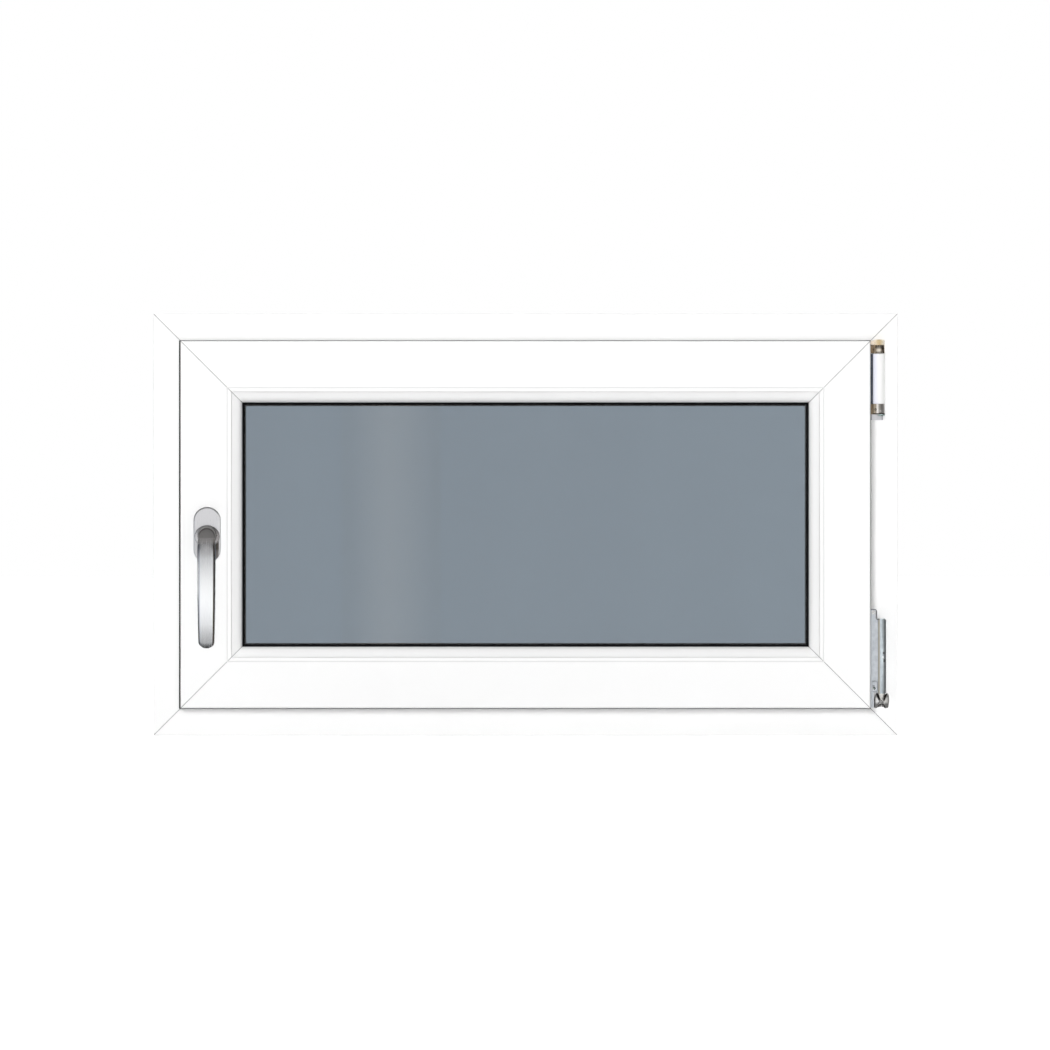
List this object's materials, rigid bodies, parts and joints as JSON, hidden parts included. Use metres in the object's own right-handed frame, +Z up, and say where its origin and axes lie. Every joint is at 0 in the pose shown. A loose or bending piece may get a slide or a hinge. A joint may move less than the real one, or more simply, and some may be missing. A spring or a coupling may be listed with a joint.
{
  "type": "tilt and turn window",
  "caption": "Wide white plastic tilt and turn window, closed: mitred hollow frame and sash, double glazing, turning lever handle and exposed hinges.",
  "frame": {"origin": "middle of the frame's underside, halfway along its width and halfway through its depth", "axes": "+X to the right as seen from the room (towards the hinges), +Y through the wall to the street, +Z up"},
  "size_m": [0.9, 0.1481, 0.51],
  "materials": {
    "white_profile": "smooth white plastic, low gloss",
    "white_bead": "smooth white plastic, low gloss",
    "white_cap": "moulded white plastic",
    "clear_glass": "clear float glass",
    "spacer_metal": "mill finish",
    "black_rubber": "matt black",
    "satin_metal": "brushed satin",
    "zinc_steel": "zinc plated",
    "bright_pivot": "polished plating"
  },
  "bodies": {
    "root": {"frame_head": "white_profile", "frame_sill": "white_profile", "frame_jamb_handle_side": "white_profile", "frame_jamb_hinge_side": "white_profile", "drain_caps": "white_cap", "sash_top_rail": "white_profile", "sash_bottom_rail": "white_profile", "sash_handle_stile": "white_profile", "sash_hinge_stile": "white_profile", "glazing_bead_top": "white_bead", "glazing_bead_bottom": "white_bead", "glazing_bead_left": "white_bead", "glazing_bead_right": "white_bead", "glass_pane_room": "clear_glass", "glass_pane_street": "clear_glass", "glass_spacer": "spacer_metal", "glazing_gasket_room": "black_rubber", "glazing_gasket_street": "black_rubber", "sash_overlap_seal": "black_rubber", "frame_lip_seal": "black_rubber", "handle_rosette": "satin_metal", "handle_collar": "satin_metal", "stay_bearing": "zinc_steel", "stay_arm_end": "zinc_steel", "stay_pin": "zinc_steel", "stay_cap": "white_cap", "corner_pivot": "bright_pivot", "corner_band": "zinc_steel"},
    "handle": {"handle_lever": "satin_metal", "handle_spindle": "zinc_steel"}
  },
  "joints": [
    {"name": "handle_turn", "type": "hinge", "parent": "root", "child": "handle", "pos_m": [-0.3847, -0.0615, 0.2425], "axis": [0, -1, 0], "range_deg": [0, 180]}
  ]
}
